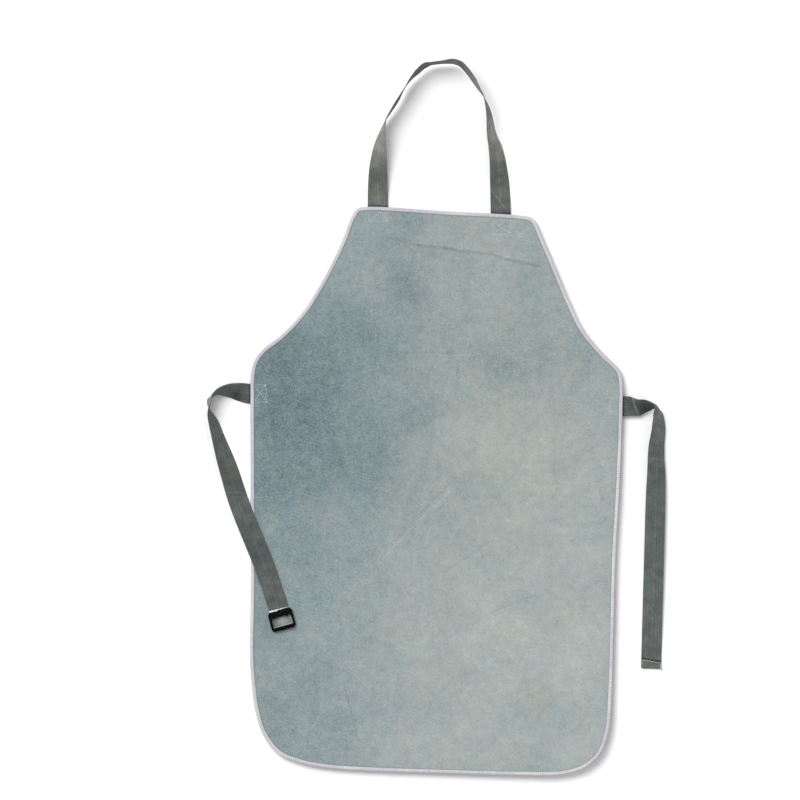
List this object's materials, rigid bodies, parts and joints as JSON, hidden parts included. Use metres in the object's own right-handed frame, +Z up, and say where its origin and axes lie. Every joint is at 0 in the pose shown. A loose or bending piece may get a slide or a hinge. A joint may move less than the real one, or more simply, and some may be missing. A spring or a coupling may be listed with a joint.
{
  "type": "leather welding apron",
  "caption": "Bib-style protective apron of suede leather with a bound edge, a webbing neck loop, and a webbing tie at each side of the waist, one with a toothed buckle.",
  "frame": {"origin": "on the surface that the apron lies on, under the middle of its overall width and length", "axes": "+Z up out of the apron's front, +Y from the hem towards the bib and the neck loop, +X to the right as one looks down on the front"},
  "size_m": [0.7342, 1.1464, 0.041],
  "materials": {
    "suede": "napped split leather, blue-grey with darker mottling",
    "binding_tape": "pale tape, closely overstitched",
    "webbing": "ribbed woven webbing, grey",
    "black_plastic": "moulded, half gloss",
    "bright_metal": "plain bright"
  },
  "bodies": {
    "root": {"apron_panel": "suede", "edge_binding": "binding_tape", "neck_strap": "webbing", "left_waist_tie": "webbing", "right_waist_tie": "webbing", "buckle_frame": "black_plastic", "buckle_teeth": "bright_metal"}
  },
  "joints": []
}
